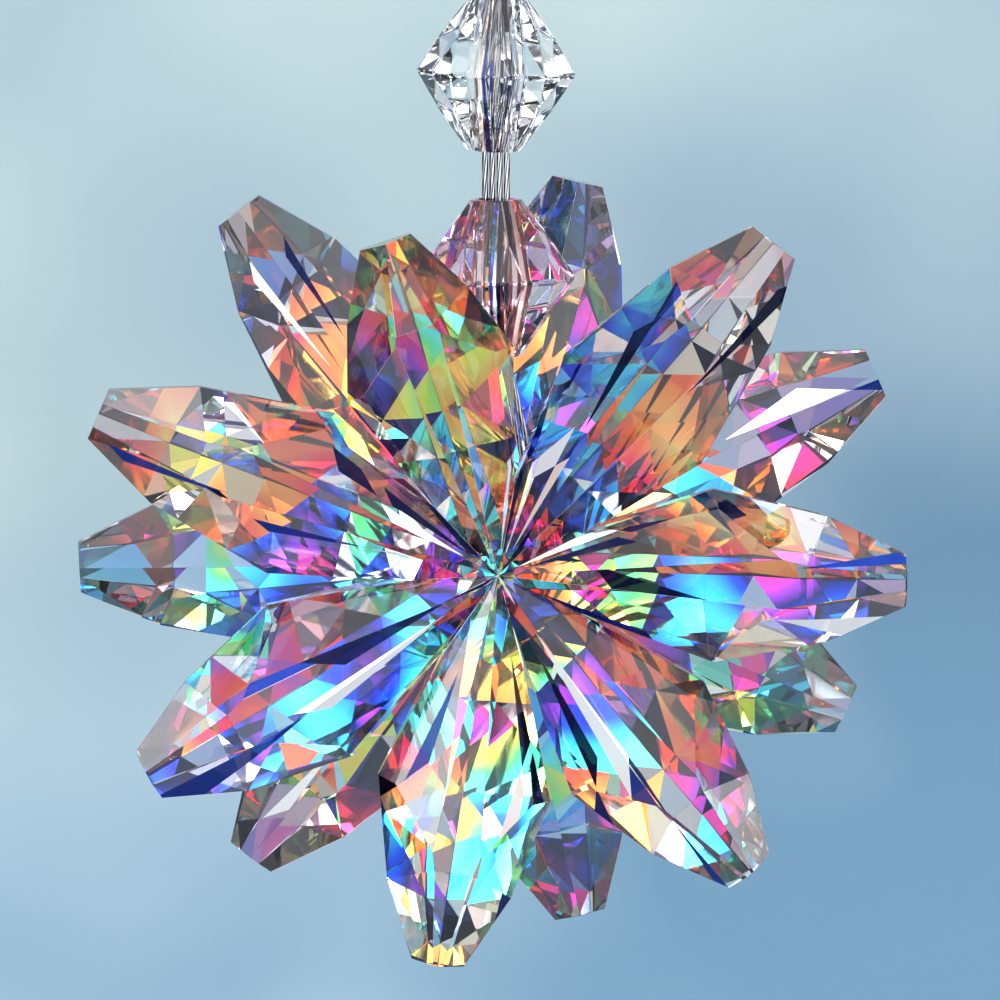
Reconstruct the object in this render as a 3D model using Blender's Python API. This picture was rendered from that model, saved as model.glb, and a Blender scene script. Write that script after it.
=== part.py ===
# Crystal suncatcher: two seven-armed stars of cut crystal stand back to back and open like
# a flower, two rings of wire hold them by the waist, and the wires rise through two
# bicone beads and a squeezed crimp tube to a hanging eye.
# +Z is up, -Y is the front, and the origin is the inside of the top of the hanging eye.

import math

import bmesh
import bpy
from mathutils import Matrix, Vector

MM = 0.001

# Wire: two closed rings in the plane y = 0, four strands side by side where they run straight.
WIRE_DIAMETER = 0.30 * MM
STRAND_GAP = 0.06 * MM
WIRE_TO_SEAT_GAP = 0.30 * MM
EYE_INNER_RADIUS = 3.40 * MM
EYE_DROP = 9.80 * MM
BEND_LENGTH = 0.70 * MM
ARC_STEPS = 22

# Crimp tube, squeezed flat over the four strands.
CRIMP_LENGTH = 2.20 * MM
CRIMP_WALL = 0.26 * MM
CRIMP_GAP = 0.30 * MM
CRIMP_DENT = 0.12 * MM
CRIMP_TO_BEAD_GAP = 0.60 * MM
CRIMP_SIDES = 24

# Bicone beads, both cut alike.
BEAD_RADIUS = 4.10 * MM
BEAD_HEIGHT = 7.80 * MM
BEAD_END_RADIUS = 1.30 * MM
BEAD_GIRDLE = 0.24 * MM
BEAD_KITE_DEPTH = 0.24 * MM
BEAD_KITE_REACH = 0.46
BEAD_FACETS = 8
BEAD_SPACING = 2.40 * MM
BEAD_TO_STAR_GAP = 0.50 * MM
BORE_CLEARANCE = 0.30 * MM
BORE_SIDES = 16
UPPER_BEAD_LEAN = math.radians(2.0)
LOWER_BEAD_TURN = math.radians(11.0)

# Stars. Heights are counted from the plane where the two meet, out along a star's own axis.
STAR_GAP = 0.30 * MM
SEAT_RADIUS = 2.00 * MM
HUB_HEIGHT = 4.50 * MM
SPINE_RISE = math.radians(17.3)
BACK_RISE = math.radians(19.8)
BACK_KEEL = math.radians(18.6)
INNER_RISE = math.radians(20.3)
INNER_FALL = math.radians(33.3)
TIP_FALL = math.radians(7.6)
VALLEY_RADIUS = 4.50 * MM
WIDEST_RADIUS = 10.60 * MM
NOTCH_ANGLE = math.radians(2.0)
SHOULDER_SHARE = 0.81
SHOULDER_HALF_WIDTH = 3.10 * MM
STRIP_SHARE = 0.75
STRIP_HALF_WIDTH = 0.95 * MM
TIP_HALF_WIDTH = 1.30 * MM
EDGE_THICKNESS = 0.60 * MM
EDGE_BEVEL = 0.45 * MM
EDGE_BEVEL_DROP = 0.31 * MM

# Each arm as its direction in degrees, from +X towards +Z, and its length as a share of the
# star's radius. The stars are ground by hand, so the arms differ a little.
STAR_RADIUS = 20.0 * MM
FRONT_ARMS = (
    (0.3, 0.995),
    (51.5, 1.070),
    (108.4, 0.880),
    (156.6, 1.065),
    (208.7, 0.980),
    (260.8, 0.955),
    (310.6, 0.945),
)
BACK_ARMS = (
    (24.0, 1.070),
    (77.0, 0.955),
    (127.0, 1.070),
    (183.0, 1.055),
    (232.4, 1.015),
    (283.2, 0.980),
    (334.8, 1.000),
)

MERGE_DISTANCE = 1e-6
FLAT_ANGLE = math.radians(0.05)

# Places that follow from the sizes above. An arm is as wide as its star's tightest sector
# allows, less a notch on each side.

def tightest_sector(arms):
    directions = sorted(degrees % 360 for degrees, share in arms)
    following = directions[1:] + [directions[0] + 360]
    return math.radians(min(b - a for a, b in zip(directions, following)))


arm_half_sector = min(tightest_sector(FRONT_ARMS), tightest_sector(BACK_ARMS)) / 2
arm_half_width = WIDEST_RADIUS * math.tan(arm_half_sector - NOTCH_ANGLE)
strand_pitch = WIRE_DIAMETER + STRAND_GAP
bundle_half_width = 1.5 * strand_pitch + WIRE_DIAMETER / 2
bore_radius = bundle_half_width + BORE_CLEARANCE
seat_height = STAR_GAP / 2
lower_bead_above_hub = SEAT_RADIUS + (BEAD_RADIUS + BEAD_TO_STAR_GAP - seat_height) / math.tan(BACK_RISE)
crimp_top_z = -EYE_DROP
upper_bead_z = crimp_top_z - CRIMP_LENGTH - CRIMP_TO_BEAD_GAP - BEAD_HEIGHT / 2
lower_bead_z = upper_bead_z - BEAD_HEIGHT - BEAD_SPACING
hub_z = lower_bead_z - lower_bead_above_hub


def clear_scene():
    for item in list(bpy.data.objects):
        bpy.data.objects.remove(item, do_unlink=True)


def make_material(name, colour, roughness, metallic=0.0, transmission=0.0, ior=1.5):
    material = bpy.data.materials.new(name)
    material.use_nodes = True
    shader = material.node_tree.nodes["Principled BSDF"]
    shader.inputs["Base Color"].default_value = (*colour, 1.0)
    shader.inputs["Roughness"].default_value = roughness
    shader.inputs["Metallic"].default_value = metallic
    shader.inputs["Transmission Weight"].default_value = transmission
    shader.inputs["IOR"].default_value = ior
    return material


def add_object(name, data, material, location=(0.0, 0.0, 0.0)):
    piece = bpy.data.objects.new(name, data)
    data.materials.append(material)
    piece.location = location
    bpy.context.collection.objects.link(piece)
    return piece


# Cutting: a blank is ground away plane by plane, as a gem cutter makes facets.

def facet(a, b, c, inside):
    # The plane through three points, facing away from a point inside the stone.
    normal = (b - a).cross(c - a).normalized()
    if normal.dot(inside - a) > 0:
        normal.negate()
    return a, normal


def grind(stone, plane, leave_open=False):
    point, normal = plane
    geometry = stone.verts[:] + stone.edges[:] + stone.faces[:]
    bmesh.ops.bisect_plane(stone, geom=geometry, dist=1e-8, plane_co=point, plane_no=normal, clear_outer=True)
    rim = [edge for edge in stone.edges if edge.is_boundary]
    if rim and not leave_open:
        bmesh.ops.holes_fill(stone, edges=rim, sides=0)


def cut_stone(planes, blank_size):
    stone = bmesh.new()
    bmesh.ops.create_cube(stone, size=blank_size)
    for plane in planes:
        grind(stone, plane)
    return stone


# Stars. Half an arm is cut in its own frame: x runs out along the arm, y across it, z along
# the star's axis. It stays open on the two planes where it meets the rest of the star.

def back_height(x, y):
    return seat_height + (x - SEAT_RADIUS) * math.tan(BACK_RISE) + y * math.tan(BACK_KEEL)


def spine_height(x):
    return HUB_HEIGHT + x * math.tan(SPINE_RISE)


def inner_height(x, y):
    return HUB_HEIGHT + x * math.tan(INNER_RISE) - y * math.tan(INNER_FALL)


def half_arm_planes(length, half_sector):
    valley = Vector((VALLEY_RADIUS * math.cos(half_sector), VALLEY_RADIUS * math.sin(half_sector), 0))
    widest = Vector((WIDEST_RADIUS, arm_half_width, 0))
    shoulder = Vector((SHOULDER_SHARE * length, SHOULDER_HALF_WIDTH, 0))
    tip = Vector((length, TIP_HALF_WIDTH, 0))
    strip_end_x = STRIP_SHARE * length
    strip_end = Vector((strip_end_x, STRIP_HALF_WIDTH, spine_height(strip_end_x)))
    up = Vector((0, 0, 1))
    inside = Vector((length / 2, 0, (back_height(length / 2, 0) + spine_height(length / 2)) / 2))

    def on(corner, height):
        return Vector((corner.x, corner.y, height))

    def edge_top(corner):
        return on(corner, back_height(corner.x, corner.y) + EDGE_THICKNESS)

    hub = Vector((0, 0, HUB_HEIGHT))
    tip_side = Vector((length, 0, spine_height(strip_end_x) - (length - strip_end_x) * math.tan(TIP_FALL)))
    inward = Vector((widest.y - valley.y, valley.x - widest.x, 0)).normalized() * EDGE_BEVEL
    middle = (valley + widest) / 2 + inward
    bevel_start = on(valley, inner_height(valley.x, valley.y))
    bevel_foot = on(widest, inner_height(widest.x, widest.y) - EDGE_BEVEL_DROP)
    bevel_top = on(middle, inner_height(middle.x, middle.y))
    return [
        (Vector((0, 0, seat_height)), -up),
        facet(hub, hub + Vector((0, 1, 0)), Vector((1, 0, spine_height(1))), inside),
        facet(hub, Vector((1, 0, inner_height(1, 0))), Vector((1, 1, inner_height(1, 1))), inside),
        facet(edge_top(widest), edge_top(shoulder), strip_end, inside),
        facet(edge_top(shoulder), edge_top(tip), strip_end, inside),
        facet(strip_end, strip_end + Vector((0, 1, 0)), tip_side, inside),
        facet(Vector((0, 0, back_height(0, 0))), Vector((1, 0, back_height(1, 0))),
              Vector((1, 1, back_height(1, 1))), inside),
        facet(valley, widest, valley + up, inside),
        facet(widest, shoulder, widest + up, inside),
        facet(shoulder, tip, shoulder + up, inside),
        facet(bevel_start, bevel_foot, bevel_top, inside),
        (Vector((length, 0, 0)), Vector((1, 0, 0))),
    ]


def cut_half_arm(length, half_sector):
    stone = cut_stone(half_arm_planes(length, half_sector), blank_size=8 * length)
    grind(stone, (Vector((0, 0, 0)), Vector((0, -1, 0))), leave_open=True)
    sector_normal = Vector((-math.sin(half_sector), math.cos(half_sector), 0))
    grind(stone, (Vector((0, 0, 0)), sector_normal), leave_open=True)
    return stone


def arm_frame(direction, side, facing):
    out = Vector((math.cos(direction), 0, math.sin(direction)))
    across = Vector((-math.sin(direction), 0, math.cos(direction))) * side
    axis = Vector((0, facing, 0))
    return Matrix((out, across, axis)).transposed().to_4x4()


def build_star(name, arms, facing, material):
    star = bmesh.new()
    count = len(arms)
    directions = [math.radians(degrees) for degrees, share in arms]
    for index, (degrees, share) in enumerate(arms):
        ahead = (directions[(index + 1) % count] - directions[index]) % math.tau
        behind = (directions[index] - directions[index - 1]) % math.tau
        for side, sector in ((1, ahead), (-1, behind)):
            half = cut_half_arm(share * STAR_RADIUS, sector / 2)
            half.transform(arm_frame(directions[index], side, facing))
            piece = bpy.data.meshes.new("half_arm")
            half.to_mesh(piece)
            half.free()
            star.from_mesh(piece)
            bpy.data.meshes.remove(piece)
    bmesh.ops.remove_doubles(star, verts=star.verts[:], dist=MERGE_DISTANCE)
    bmesh.ops.dissolve_limit(star, angle_limit=FLAT_ANGLE, verts=star.verts[:], edges=star.edges[:])
    bmesh.ops.recalc_face_normals(star, faces=star.faces[:])
    mesh = bpy.data.meshes.new(name)
    star.to_mesh(mesh)
    star.free()
    return add_object(name, mesh, material, (0.0, 0.0, hub_z))


# Beads: eight long facets above and eight below, with a narrow kite on each girdle corner.

def bead_planes():
    step = math.tau / BEAD_FACETS
    to_flat = math.cos(step / 2)
    half_height = BEAD_HEIGHT / 2
    half_girdle = BEAD_GIRDLE / 2
    inside = Vector((0, 0, 0))
    ridge_z = half_girdle + BEAD_KITE_REACH * (half_height - half_girdle)
    ridge_r = BEAD_RADIUS + BEAD_KITE_REACH * (BEAD_END_RADIUS - BEAD_RADIUS)
    planes = []
    for index in range(BEAD_FACETS):
        turn = Matrix.Rotation((index + 0.5) * step, 3, "Z")
        corner_turn = Matrix.Rotation(index * step, 3, "Z")
        across = Vector((0, 1, 0))
        girdle_point = Vector((BEAD_RADIUS * to_flat, 0, 0))
        planes.append((turn @ girdle_point, turn @ Vector((1, 0, 0))))
        for sign in (1, -1):
            low = Vector((BEAD_RADIUS * to_flat, 0, sign * half_girdle))
            high = Vector((BEAD_END_RADIUS * to_flat, 0, sign * half_height))
            planes.append(facet(turn @ low, turn @ high, turn @ (low + across), inside))
            kite_foot = Vector((BEAD_RADIUS - BEAD_KITE_DEPTH, 0, sign * half_girdle))
            kite_top = Vector((ridge_r, 0, sign * ridge_z))
            planes.append(facet(corner_turn @ kite_foot, corner_turn @ kite_top,
                                corner_turn @ (kite_foot + across), inside))
    for sign in (1, -1):
        planes.append((Vector((0, 0, sign * half_height)), Vector((0, 0, sign))))
    return planes


def build_bore_cutter(name):
    cutter_mesh = bpy.data.meshes.new(name)
    cutter = bmesh.new()
    bmesh.ops.create_cone(cutter, cap_ends=True, segments=BORE_SIDES, radius1=bore_radius,
                          radius2=bore_radius, depth=1.5 * BEAD_HEIGHT)
    cutter.to_mesh(cutter_mesh)
    cutter.free()
    piece = bpy.data.objects.new(name, cutter_mesh)
    piece.hide_render = True
    piece.display_type = "WIRE"
    bpy.context.collection.objects.link(piece)
    return piece


def build_bead(name, height_z, lean, turn, material):
    stone = cut_stone(bead_planes(), blank_size=4 * BEAD_HEIGHT)
    mesh = bpy.data.meshes.new(name)
    stone.to_mesh(mesh)
    stone.free()
    bead = add_object(name, mesh, material, (0.0, 0.0, height_z))
    bead.rotation_euler = (0.0, lean, turn)
    cutter = build_bore_cutter(name + "_bore")
    cutter.parent = bead
    bore = bead.modifiers.new("bore", "BOOLEAN")
    bore.operation = "DIFFERENCE"
    bore.solver = "EXACT"
    bore.object = cutter
    return bead


# Wires: from the waist between the stars, straight up through the beads and the crimp tube,
# and round the eye. Only the right half is worked out, the left half mirrors it.

def arc_points(centre_z, radius, strand_x, strand_z):
    # From the tangent point seen from the strand's end, round the far side, to x = 0.
    reach = math.hypot(strand_x, strand_z - centre_z)
    towards = math.atan2(strand_x, abs(strand_z - centre_z))
    start = towards + math.acos(radius / reach)
    upward = 1 if strand_z > centre_z else -1
    points = []
    for index in range(ARC_STEPS + 1):
        angle = start + (math.pi - start) * index / ARC_STEPS
        points.append((radius * math.sin(angle), centre_z + upward * radius * math.cos(angle)))
    return points


def bend_points(before, corner, after):
    # A short smooth bend in place of a sharp corner.
    before, corner, after = Vector(before), Vector(corner), Vector(after)
    enter = corner + (before - corner).normalized() * BEND_LENGTH
    leave = corner + (after - corner).normalized() * BEND_LENGTH
    points = []
    for step in range(5):
        share = step / 4
        points.append(enter * (1 - share) ** 2 + corner * 2 * share * (1 - share) + leave * share ** 2)
    return [(point.x, point.y) for point in points]


def build_wire(name, strand_x, layer, material):
    waist_radius = SEAT_RADIUS + WIRE_TO_SEAT_GAP + WIRE_DIAMETER / 2 + layer * strand_pitch
    eye_radius = EYE_INNER_RADIUS + WIRE_DIAMETER / 2 + layer * strand_pitch
    split_z = lower_bead_z - BEAD_HEIGHT / 2
    waist = arc_points(hub_z, waist_radius, strand_x, split_z)
    eye = arc_points(-EYE_INNER_RADIUS, eye_radius, strand_x, crimp_top_z)
    lower_corner = (strand_x, split_z)
    upper_corner = (strand_x, crimp_top_z)
    right = waist[::-1]
    right += bend_points(waist[0], lower_corner, upper_corner)
    right += bend_points(lower_corner, upper_corner, eye[0])
    right += eye
    left = [(-x, z) for x, z in right[-2:0:-1]]
    route = right + left

    curve = bpy.data.curves.new(name, "CURVE")
    curve.dimensions = "3D"
    curve.bevel_depth = WIRE_DIAMETER / 2
    curve.bevel_resolution = 2
    curve.render_resolution_u = 0
    spline = curve.splines.new("POLY")
    spline.points.add(len(route) - 1)
    for point, (x, z) in zip(spline.points, route):
        point.co = (x, 0.0, z, 1.0)
    spline.use_cyclic_u = True
    return add_object(name, curve, material)


# Crimp tube: an oval sleeve, pinched a little at mid-height.

def build_crimp(name, material):
    inner = (bundle_half_width + CRIMP_GAP, WIRE_DIAMETER / 2 + CRIMP_GAP)
    outer = (inner[0] + CRIMP_WALL, inner[1] + CRIMP_WALL)
    soften = 0.3 * CRIMP_WALL
    half = CRIMP_LENGTH / 2
    rings = [
        (outer, soften, -half, 0.0),
        (outer, 0.0, soften - half, 0.0),
        (outer, 0.0, -0.45 * half, 0.0),
        (outer, 0.0, 0.0, CRIMP_DENT),
        (outer, 0.0, 0.45 * half, 0.0),
        (outer, 0.0, half - soften, 0.0),
        (outer, soften, half, 0.0),
        (inner, 0.0, half, 0.0),
        (inner, 0.0, -half, 0.0),
    ]
    sleeve = bmesh.new()
    loops = []
    for (half_width, half_depth), inset, z, dent in rings:
        loop = []
        for index in range(CRIMP_SIDES):
            angle = math.tau * index / CRIMP_SIDES
            x = (half_width - inset) * math.cos(angle)
            y = (half_depth - inset - dent) * math.sin(angle)
            loop.append(sleeve.verts.new((x, y, z)))
        loops.append(loop)
    for index, loop in enumerate(loops):
        following = loops[(index + 1) % len(loops)]
        for side in range(CRIMP_SIDES):
            beside = (side + 1) % CRIMP_SIDES
            sleeve.faces.new((loop[side], loop[beside], following[beside], following[side]))
    bmesh.ops.recalc_face_normals(sleeve, faces=sleeve.faces[:])
    mesh = bpy.data.meshes.new(name)
    sleeve.to_mesh(mesh)
    sleeve.free()
    mesh.shade_smooth()
    mesh.set_sharp_from_angle(angle=math.radians(40))
    return add_object(name, mesh, material, (0.0, 0.0, crimp_top_z - CRIMP_LENGTH / 2))


def build_suncatcher():
    clear_scene()
    star_glass = make_material("star_crystal", (0.93, 0.96, 1.0), 0.02, transmission=1.0, ior=1.56)
    bead_glass = make_material("bead_crystal", (0.96, 0.98, 1.0), 0.02, transmission=1.0, ior=1.56)
    wire_metal = make_material("wire_steel", (0.62, 0.63, 0.68), 0.25, metallic=1.0)
    crimp_metal = make_material("crimp_silver", (0.80, 0.80, 0.82), 0.30, metallic=1.0)
    build_star("front_star", FRONT_ARMS, -1, star_glass)
    build_star("back_star", BACK_ARMS, 1, star_glass)
    build_bead("lower_bead", lower_bead_z, 0.0, LOWER_BEAD_TURN, bead_glass)
    build_bead("upper_bead", upper_bead_z, UPPER_BEAD_LEAN, 0.0, bead_glass)
    build_wire("inner_wire", 0.5 * strand_pitch, 0, wire_metal)
    build_wire("outer_wire", 1.5 * strand_pitch, 1, wire_metal)
    build_crimp("crimp_tube", crimp_metal)


build_suncatcher()
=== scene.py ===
import math

import bmesh
import bpy
from mathutils import Matrix, Vector


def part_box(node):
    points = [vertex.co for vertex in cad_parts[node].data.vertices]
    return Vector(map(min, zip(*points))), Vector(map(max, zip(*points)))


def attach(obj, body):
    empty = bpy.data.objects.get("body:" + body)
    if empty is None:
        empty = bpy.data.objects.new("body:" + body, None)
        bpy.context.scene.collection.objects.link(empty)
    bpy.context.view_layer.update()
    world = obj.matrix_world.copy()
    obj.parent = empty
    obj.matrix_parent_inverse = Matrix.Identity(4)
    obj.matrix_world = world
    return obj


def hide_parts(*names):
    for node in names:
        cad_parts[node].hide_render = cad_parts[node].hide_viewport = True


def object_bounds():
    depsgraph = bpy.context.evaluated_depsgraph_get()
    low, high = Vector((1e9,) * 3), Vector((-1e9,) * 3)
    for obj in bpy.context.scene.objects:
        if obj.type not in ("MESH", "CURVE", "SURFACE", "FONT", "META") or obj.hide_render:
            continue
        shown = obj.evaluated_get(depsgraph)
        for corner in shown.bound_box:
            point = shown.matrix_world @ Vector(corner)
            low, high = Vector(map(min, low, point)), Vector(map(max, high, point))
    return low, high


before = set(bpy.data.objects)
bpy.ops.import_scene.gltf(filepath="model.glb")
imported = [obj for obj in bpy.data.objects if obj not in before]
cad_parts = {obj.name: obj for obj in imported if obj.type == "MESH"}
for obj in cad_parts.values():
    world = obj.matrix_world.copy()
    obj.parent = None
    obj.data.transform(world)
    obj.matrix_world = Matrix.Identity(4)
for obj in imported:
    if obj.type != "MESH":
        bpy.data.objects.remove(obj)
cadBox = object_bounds()
mm = 0.001
print("frame loaded:", ", ".join(sorted(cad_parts)))

# wire sizes, and the hub of the stars: half way between them, at the height of the widest arms
wireLook = {
    "radius": 0.15 * mm,
    "pitch": 0.36 * mm,            # from one strand to the next
    "waistRadius": 2.45 * mm,      # inner ring, round the waist between the stars
    "eyeInnerRadius": 3.40 * mm,
    "bend": 0.70 * mm,
    "bendSteps": 8,
    "arcSteps": 40,
    "strands": 6,                  # steel threads laid round the core
    "layLength": 8.0 * mm,         # one full turn of the threads
    "layDepth": 0.10,              # depth of the grooves between them, as a share of the radius
    "grooveSharpness": 3.0,
    "step": 0.16 * mm,
    "sides": 36,
}
hub = Vector((0.0, 0.0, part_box("inner_wire")[0].z + wireLook["waistRadius"] + wireLook["radius"]))


def addObject(name, data):
    thing = bpy.data.objects.new(name, data)
    bpy.context.scene.collection.objects.link(thing)
    return thing


# camera: a little above the stars and a hair to the left, as the photograph was taken
cameraView = {
    "azimuth": math.radians(-1.4),
    "elevation": math.radians(7.0),
    "distance": 350 * mm,
    "pixelsPerMm": 20.0,
    "frame": 1000.0,
    "hubPixel": (496.0, 563.5),
    "sensor": 36.0,
    "clip": (0.01, 20.0),
}


def buildCamera():
    azimuth, elevation = cameraView["azimuth"], cameraView["elevation"]
    towards = Vector((math.sin(azimuth) * math.cos(elevation), -math.cos(azimuth) * math.cos(elevation),
                      math.sin(elevation)))
    right = Vector((math.cos(azimuth), math.sin(azimuth), 0.0))
    up = towards.cross(right)
    middle = cameraView["frame"] / 2
    stepX = (middle - cameraView["hubPixel"][0]) / cameraView["pixelsPerMm"] * mm
    stepZ = (cameraView["hubPixel"][1] - middle) / cameraView["pixelsPerMm"] * mm
    data = bpy.data.cameras.new("camera")
    data.sensor_width = cameraView["sensor"]
    widthAcross = cameraView["frame"] / cameraView["pixelsPerMm"] * mm
    data.lens = cameraView["sensor"] * cameraView["distance"] / widthAcross
    data.clip_start, data.clip_end = cameraView["clip"]
    camera = addObject("camera", data)
    camera.matrix_world = Matrix((right, up, towards)).transposed().to_4x4()
    camera.location = hub + right * stepX + up * stepZ + towards * cameraView["distance"]
    bpy.context.scene.camera = camera


buildCamera()
print("camera set")


# node helpers: most of them add one node and give back its result
def addSockets(tree, direction, kind, names):
    # names alone, or names with their starting values
    for name in names:
        socket = tree.interface.new_socket(name=name, in_out=direction, socket_type="NodeSocket" + kind)
        if isinstance(names, dict):
            socket.default_value = names[name]


def setInputs(node, inputs):
    for socket, value in inputs.items():
        if isinstance(value, bpy.types.NodeSocket):
            node.id_data.links.new(value, node.inputs[socket])
        else:
            node.inputs[socket].default_value = value


def addNode(tree, kind, name, place, inputs=None, **settings):
    node = tree.nodes.new(kind)
    node.name = node.label = name
    node.location = place
    for key, value in settings.items():
        setattr(node, key, value)
    setInputs(node, inputs or {})
    return node


def addMath(tree, name, place, operation, *values, **settings):
    return addNode(tree, "ShaderNodeMath", name, place, dict(enumerate(values)), operation=operation,
                   **settings).outputs[0]


def addRange(tree, name, place, value, fromRange, toRange=(0.0, 1.0), interpolation="LINEAR"):
    return addNode(tree, "ShaderNodeMapRange", name, place,
                   {"Value": value, "From Min": fromRange[0], "From Max": fromRange[1],
                    "To Min": toRange[0], "To Max": toRange[1]},
                   interpolation_type=interpolation).outputs["Result"]


def addMix(tree, name, place, factor, first, second):
    # inputs 6 and 7 and output 2 are the node's colours
    return addNode(tree, "ShaderNodeMix", name, place, {"Factor": factor, 6: first, 7: second},
                   data_type="RGBA").outputs[2]


def addRamp(tree, name, place, value, stops, interpolation="LINEAR"):
    ramp = addNode(tree, "ShaderNodeValToRGB", name, place, {"Fac": value})
    ramp.color_ramp.interpolation = interpolation
    elements = ramp.color_ramp.elements
    while len(elements) > 1:
        elements.remove(elements[-1])
    elements[0].position, elements[0].color = stops[0][0], (*stops[0][1], 1.0)
    for position, colour in stops[1:]:
        elements.new(position).color = (*colour, 1.0)
    return ramp.outputs["Color"]


def objectPlace(tree, place):
    return addNode(tree, "ShaderNodeTexCoord", "place", place).outputs["Object"]


def addNoise(tree, name, place, vector, scale, detail):
    return addNode(tree, "ShaderNodeTexNoise", name, place,
                   {"Vector": vector, "Scale": scale, "Detail": detail}).outputs["Fac"]


def facetValue(tree, attribute, place):
    return addNode(tree, "ShaderNodeAttribute", attribute, place,
                   attribute_name=attribute).outputs["Fac"]


def driftingTone(tree, tone, scale, drift, x):
    # the tone of a facet, wandering a little across it
    cloud = addNoise(tree, "cloud", (x, -200), objectPlace(tree, (x - 200, -200)), scale, 1.0)
    centred = addMath(tree, "centred", (x + 200, -200), "SUBTRACT", cloud, 0.5)
    swing = addMath(tree, "swing", (x + 400, 0), "MULTIPLY_ADD", centred, drift, tone)
    return addMath(tree, "wrap", (x + 600, 0), "FRACT", swing)


def newMaterial(name):
    material = bpy.data.materials.new(name)
    material.use_nodes = True
    return material, material.node_tree, material.node_tree.nodes["Principled BSDF"]


# the coating's colours, in the order that a growing film gives them
auroraStops = (
    (0.00, (1.00, 0.74, 0.20)),
    (0.08, (1.00, 0.42, 0.10)),
    (0.19, (0.95, 0.20, 0.06)),
    (0.30, (0.90, 0.05, 0.10)),
    (0.38, (0.80, 0.05, 0.36)),
    (0.45, (0.30, 0.05, 0.60)),
    (0.52, (0.02, 0.02, 0.16)),
    (0.59, (0.02, 0.08, 0.80)),
    (0.68, (0.04, 0.50, 0.95)),
    (0.78, (0.14, 0.92, 0.92)),
    (0.86, (0.16, 0.85, 0.30)),
    (0.93, (0.85, 0.92, 0.12)),
    (1.00, (1.00, 0.74, 0.20)),
)
marksLook = {        # fine handling marks: short scratches and dust specks
    "scratchTurn": (0.4, 0.3, 0.9),
    "scratchStretch": (1.0, 0.3, 0.08),
    "scratchFrom": (0.62, 0.72),
    "speckFrom": (0.16, 0.08),
    "scales": {"Scratch Scale": 900.0, "Dust Scale": 2500.0, "Amount": 1.0},
}


def buildAuroraGroup():
    tree = bpy.data.node_groups.new("auroraFilm", "ShaderNodeTree")
    addSockets(tree, "INPUT", "Float", {"Tone": 0.5, "Strength": 0.8, "Drift": 0.15, "Scale": 120.0})
    addSockets(tree, "INPUT", "Color", {"Glass": (0.96, 0.98, 1.0, 1.0)})
    addSockets(tree, "OUTPUT", "Color", ["Color"])
    given = addNode(tree, "NodeGroupInput", "inputs", (-1300, 0)).outputs
    tone = driftingTone(tree, given["Tone"], given["Scale"], given["Drift"], -1000)
    film = addRamp(tree, "film colours", (-200, 0), tone, auroraStops)
    over = addMix(tree, "over the glass", (150, 0), given["Strength"], given["Glass"], film)
    addNode(tree, "NodeGroupOutput", "outputs", (400, 0), {"Color": over})
    return tree


def buildMarksGroup():
    # the handling marks as a mask and a height
    tree = bpy.data.node_groups.new("handlingMarks", "ShaderNodeTree")
    addSockets(tree, "INPUT", "Float", marksLook["scales"])
    addSockets(tree, "OUTPUT", "Float", ["Mask", "Height"])
    given = addNode(tree, "NodeGroupInput", "inputs", (-1100, 0)).outputs
    place = objectPlace(tree, (-1100, -300))
    stretched = addNode(tree, "ShaderNodeMapping", "stretched", (-900, -300),
                        {"Vector": place, "Rotation": marksLook["scratchTurn"],
                         "Scale": marksLook["scratchStretch"]}).outputs["Vector"]
    lines = addNoise(tree, "scratches", (-700, -200), stretched, given["Scratch Scale"], 2.0)
    thin = addRange(tree, "thin lines", (-450, -200), lines, marksLook["scratchFrom"])
    dust = addNode(tree, "ShaderNodeTexVoronoi", "dust", (-700, 200),
                   {"Vector": place, "Scale": given["Dust Scale"]})
    specks = addRange(tree, "specks", (-450, 200), dust.outputs["Distance"], marksLook["speckFrom"])
    both = addMath(tree, "marks", (-200, 0), "MAXIMUM", thin, specks)
    amount = addMath(tree, "amount", (50, 0), "MULTIPLY", both, given["Amount"])
    sunk = addMath(tree, "sunk", (250, -200), "SUBTRACT", 1.0, amount)
    addNode(tree, "NodeGroupOutput", "outputs", (600, 0), {"Mask": amount, "Height": sunk})
    return tree


auroraFilm = buildAuroraGroup()
handlingMarks = buildMarksGroup()

starGlassLook = {
    "ior": 1.56,
    "gloss": 0.30,
    "roughness": 0.0,
    "drift": 0.30,
    "driftScale": 130.0,
    "wear": 0.02,
}
beadGlassLook = {**starGlassLook, "gloss": 0.5, "drift": 0.25, "driftScale": 180.0}
coatingLook = {
    "alpha": 0.86,
    "whiteBelow": 0.30,            # a facet with less film than this is paler than its tone
    "roughness": 0.03,
    "drift": 0.9,
    "driftScale": 170.0,
    "wear": 0.10,
}
edgeLook = {
    "bevel": 0.11 * mm,
    "beadBevel": 0.05 * mm,
    "angle": math.radians(14),
    "alpha": 0.96,
    "roughness": 0.08,
    "drift": 0.04,
    "driftScale": 350.0,
    "wear": 0.2,
    # near white and pale pink give a mirror, near black and the two navies are painted shade
    "stops": ((0.0, (0.01, 0.015, 0.05)), (0.34, (0.97, 0.98, 1.0)), (0.62, (0.02, 0.05, 0.28)),
              (0.74, (1.0, 0.84, 0.76)), (0.86, (0.02, 0.03, 0.15))),
}


def addMarks(tree, look):
    # the piece's own roughness with the handling marks on it, and the marks' height
    marks = addNode(tree, "ShaderNodeGroup", "marks", (-600, -250), {"Amount": look["wear"]},
                    node_tree=handlingMarks)
    rough = addMath(tree, "roughness", (-350, -250), "ADD", marks.outputs["Mask"], look["roughness"])
    return rough, marks.outputs["Height"]


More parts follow.
